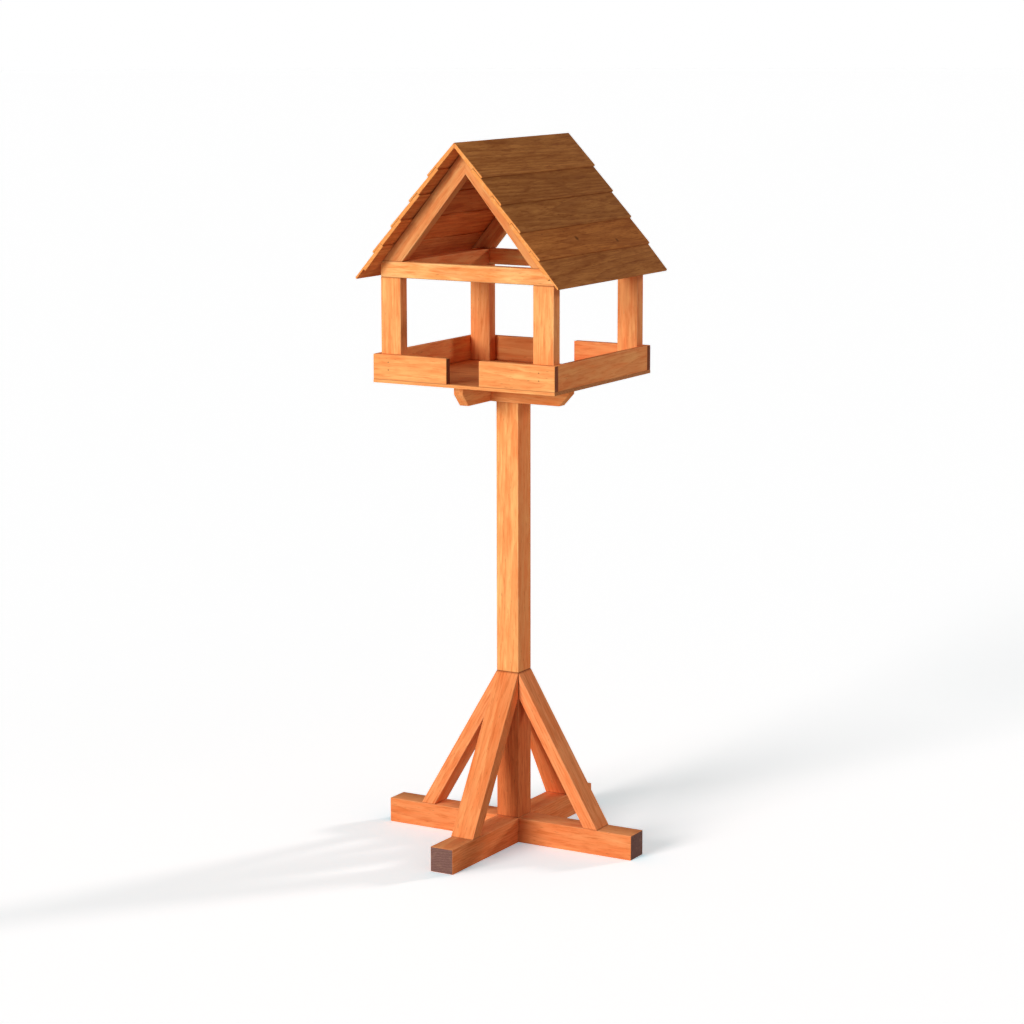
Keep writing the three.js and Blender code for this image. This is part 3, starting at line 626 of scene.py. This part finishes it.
course_board = roof_board(BOARD_WIDTH, 0)
upper_thickness = THICK_EDGE - TAPER * (BOARD_WIDTH - LAP)
tilt = 0
for course in range(COURSES, 0, -1):
    width = TOP_WIDTH if course == 1 else BOARD_WIDTH
    if course < COURSES:
        tilt = math.asin((LAP * math.sin(tilt) + upper_thickness + PLAY - REBATE) / width)
    pattern = roof_board(TOP_WIDTH, math.tan(PITCH - tilt)) if course == 1 else course_board
    down = PLAY / 2 if course == 1 else TOP_WIDTH + (course - 1) * EXPOSURE - BOARD_WIDTH
    place = Matrix.Translation((down * math.cos(PITCH), 0, RAFTER_PEAK - down * math.sin(PITCH)))
    place = place @ Matrix.Rotation(PITCH - tilt, 4, "Y")
    for side, turn in (("right", 0), ("left", math.pi)):
        spin = Matrix.Rotation(turn, 4, "Z")
        board = turned_copy(pattern, f"roof_board_{side}_{course}_timber", 0)
        board.data.transform(spin @ place)
        lie = spin @ place
        outward, down_slope = lie.to_3x3() @ Vector((0, 0, 1)), lie.to_3x3() @ Vector((1, 0, 0))
        middle = lie @ Vector((width / 2, 0, THICK_EDGE / 2))
        board_stain = dict(
            ROOF_STAIN, open_to=(outward, down_slope), tone=COURSE_TONES[course - 1],
            marks=ROOF_KNOTS if (side, course) == ("right", 4) else ())
        fit(board, f"roof_board_{side}_{course}", stained_pine(
            f"stained_pine_roof_board_{side}_{course}", board_stain, lie.to_3x3() @ Vector((0, 1, 0)),
            outward, middle, (width / 2, THICK_EDGE / 2), (0.02 * (course - 3), 0.04 + 0.01 * course),
            1.3 * course + turn, 5 * MM))
    if course == 1:
        bpy.data.objects.remove(pattern)
bpy.data.objects.remove(course_board)

# The screws are zinc-plated steel, out of sight in the timber. Only the countersunk heads show, under the
# feet, on the tray floor and under the tray's corners. The one that joins the two posts has a point at each
# end instead.
bright_zinc = bpy.data.materials.new("yellow_passivated_zinc_plate")
bright_zinc.use_nodes = True
tree = bright_zinc.node_tree
tree.nodes.clear()
spot = add(tree, "TexCoord", {}).outputs["Object"]
cloud = add(tree, "TexNoise", {"Vector": spot, "Scale": 900, "Detail": 2}).outputs[0]
tints = {0: cloud, 6: linear("#D8C48A"), 7: linear("#BFA25E")}
passivated = add(tree, "Mix", tints, data_type="RGBA").outputs[2]
dulled = add(tree, "MapRange", {"Value": cloud, "To Min": 0.28, "To Max": 0.45}).outputs[0]
plated = add(tree, "BsdfPrincipled", {"Base Color": passivated, "Metallic": 1, "Roughness": dulled})
add(tree, "OutputMaterial", {"Surface": plated.outputs[0]})


POINT = 0.08  # how much of a screw's width is left at its point


def screw(node, x, y, level, length, radius, up):
    """A countersunk screw with a cross recess, its flat head at a level and its point up or down."""
    bpy.ops.object.select_all(action="DESELECT")
    bpy.ops.mesh.primitive_cone_add(
        vertices=ROUND_SIDES, radius1=2 * radius, radius2=radius, depth=radius,
        location=(0, 0, radius / 2))
    body = bpy.context.object
    body.name = body.data.name = node + "_plated"
    bpy.ops.object.transform_apply(location=True, rotation=True, scale=True)
    pull(body, lambda middle, normal: normal.z > 0.9, (0, 0, length - 3 * radius))
    pull(body, lambda middle, normal: normal.z > 0.9, (0, 0, 2 * radius))
    shape(body, lambda middle, normal: normal.z > 0.9,
          lambda: bpy.ops.transform.resize(value=(POINT, POINT, 1)))
    for turn in (0, math.pi / 2):
        bpy.ops.object.select_all(action="DESELECT")
        bpy.ops.mesh.primitive_cube_add(
            size=1, rotation=(0, 0, turn), scale=(2.2 * radius, 0.5 * radius, 1.4 * radius))
        blade = bpy.context.object
        run_modifier(body, "BOOLEAN", object=blade, operation="DIFFERENCE", solver="EXACT")
        bpy.data.objects.remove(blade)
    flip = Matrix.Identity(4) if up else Matrix.Rotation(math.pi, 4, "X")
    body.data.transform(Matrix.Translation((x, y, level)) @ flip)
    bpy.ops.object.select_all(action="DESELECT")
    body.select_set(True)
    bpy.context.view_layer.objects.active = body
    bpy.ops.object.shade_smooth_by_angle(angle=math.radians(30))
    fit(body, node, bright_zinc)


bpy.ops.object.select_all(action="DESELECT")
bpy.ops.mesh.primitive_cylinder_add(
    vertices=ROUND_SIDES, radius=JOIN_SCREW, depth=JOIN_SCREW_LENGTH - 4 * JOIN_SCREW,
    location=(0, 0, BRACE_TOP))
double_screw = bpy.context.object
double_screw.name = double_screw.data.name = "post_joining_screw_plated"
bpy.ops.object.transform_apply(location=True, rotation=True, scale=True)
for way in (-1, 1):
    pull(double_screw, lambda middle, normal: normal.z * way > 0.9, (0, 0, way * 2 * JOIN_SCREW))
    shape(double_screw, lambda middle, normal: normal.z * way > 0.9,
          lambda: bpy.ops.transform.resize(value=(POINT, POINT, 1)))
bpy.ops.object.shade_smooth_by_angle(angle=math.radians(30))
fit(double_screw, "post_joining_screw", bright_zinc)

screw("post_screw", 0, 0, SCREW_SINK, POST_SCREW_LENGTH, POST_SCREW, True)
for number, side in enumerate(("right", "back", "left", "front")):
    hole = Matrix.Rotation(number * math.pi / 2, 3, "Z") @ Vector((BRACE_SCREW_REACH, 0, 0))
    screw(f"brace_screw_{side}", hole.x, hole.y, SCREW_SINK, BRACE_SCREW_LENGTH, BRACE_SCREW, True)
for number, side in enumerate(("front", "right", "back", "left")):
    hole = Matrix.Rotation(number * math.pi / 2, 3, "Z") @ FLOOR_SCREW
    screw(f"floor_screw_{side}", hole.x, hole.y, FLOOR_TOP, FLOOR_SCREW_LENGTH, TRAY_SCREW, False)
for side, x_sign, y_sign in CORNERS:
    x, y = x_sign * CORNER_SCREW.x, y_sign * CORNER_SCREW.y
    screw(f"corner_screw_{side}", x, y, POST_TOP, CORNER_SCREW_LENGTH, TRAY_SCREW, True)

# The studio: a pale seamless floor that fills the view and throws light back up, two soft lamps in front,
# one above the other, and a small one behind to the right, which draws the long pale shadow. The camera
# sees floor and sky as white, and the floor with painted shade, a little darker and cooler where timber
# hems it in, so that the orange light off the timber leaves the shadows grey.
bpy.ops.object.select_all(action="DESELECT")
bpy.ops.mesh.primitive_circle_add(vertices=64, radius=60, fill_type="NGON")
studio_floor = bpy.context.object
studio_floor.name = "studio_floor"


def seen_directly(tree):
    """1 for rays from the camera, straight or mirrored or through glass, and 0 for scattered light."""
    path = add(tree, "LightPath", {}).outputs
    rays = {0: path["Is Camera Ray"], 1: path["Is Glossy Ray"]}
    straight = add(tree, "Math", rays, operation="MAXIMUM").outputs[0]
    rays = {0: straight, 1: path["Is Transmission Ray"]}
    return add(tree, "Math", rays, operation="MAXIMUM").outputs[0]


paper = bpy.data.materials.new("matt_white_floor")
paper.use_nodes = True
tree = paper.node_tree
tree.nodes.clear()
direct = seen_directly(tree)
pale = add(tree, "Mix", {0: direct, 6: (0.8, 0.8, 0.8, 1), 7: (1.36, 1.22, 1.19, 1)}, data_type="RGBA")
matt = add(tree, "BsdfDiffuse", {"Color": pale.outputs[2]})
# Painted shade: the floor's glow drops, darker and cooler, where timber closes in on it.
open_sky = add(tree, "AmbientOcclusion", {"Distance": 500 * MM}, samples=4).outputs["AO"]
hemmed_in = add(tree, "MapRange", {"Value": open_sky, "From Min": 1, "From Max": 0.55}).outputs[0]
glows = {0: hemmed_in, 6: (0.32, 0.39, 0.405, 1), 7: (0.06, 0.275, 0.33, 1)}
painted_shade_near_timber = add(tree, "Mix", glows, data_type="RGBA").outputs[2]
spill = add(tree, "Mix", {0: direct, 6: (0.06, 0.06, 0.06, 1), 7: painted_shade_near_timber}, data_type="RGBA")
glow = add(tree, "Emission", {"Color": spill.outputs[2], "Strength": 1})
both = add(tree, "AddShader", {0: matt.outputs[0], 1: glow.outputs[0]})
add(tree, "OutputMaterial", {"Surface": both.outputs[0]})
studio_floor.data.materials.append(paper)

world = bpy.data.worlds.new("studio_fill")
bpy.context.scene.world = world
world.use_nodes = True
tree = world.node_tree
tree.nodes.clear()
direct = seen_directly(tree)
level = add(tree, "MapRange", {"Value": direct, "To Min": 0.13, "To Max": 1}).outputs[0]
fill = add(tree, "Background", {"Color": (1, 1, 1, 1), "Strength": level})
add(tree, "OutputWorld", {"Surface": fill.outputs[0]})


def lamp(name, azimuth, elevation, level, spread):
    """A far lamp by its bearing from the front, its height and its spread in degrees, and its level."""
    bpy.ops.object.select_all(action="DESELECT")
    bpy.ops.object.light_add(
        type="SUN", rotation=(math.radians(90 - elevation), 0, math.radians(azimuth)))
    light = bpy.context.object
    light.name = name
    light.data.energy = level * math.pi
    light.data.angle = math.radians(spread)


lamp("low_soft_lamp_in_front", -12.7, 10, 0.37, 20)
lamp("high_soft_lamp_in_front", -12.7, 18, 0.56, 24)
lamp("small_lamp_behind", 148.5, 17, 0.35, 7)
lamp("broad_lamp_beside", 68.7, 14.5, 0.09, 70)

AZIMUTH, ELEVATION, ROLL = math.radians(30.21), math.radians(10.17), math.radians(-0.08)
DISTANCE, SENSOR = 5.744, 36
FOCAL_IN_PIXELS, PICTURE_WIDTH = 2898.55, 1024
back = Vector((
    math.sin(AZIMUTH) * math.cos(ELEVATION), -math.cos(AZIMUTH) * math.cos(ELEVATION), math.sin(ELEVATION)))
right = Vector((math.cos(AZIMUTH), math.sin(AZIMUTH), 0))
target = right * -3.28 * MM + Vector((0, 0, 668.4 * MM))  # the picture's middle
level_view = Matrix((right, back.cross(right), back)).transposed() @ Matrix.Rotation(ROLL, 3, "Z")
bpy.ops.object.select_all(action="DESELECT")
bpy.ops.object.camera_add(location=target + back * DISTANCE, rotation=level_view.to_euler())
camera = bpy.context.object
camera.data.lens = FOCAL_IN_PIXELS / PICTURE_WIDTH * SENSOR
camera.data.sensor_width = SENSOR
camera.data.clip_end = 500
bpy.context.scene.camera = camera
bpy.context.scene.view_settings.view_transform = "Standard"
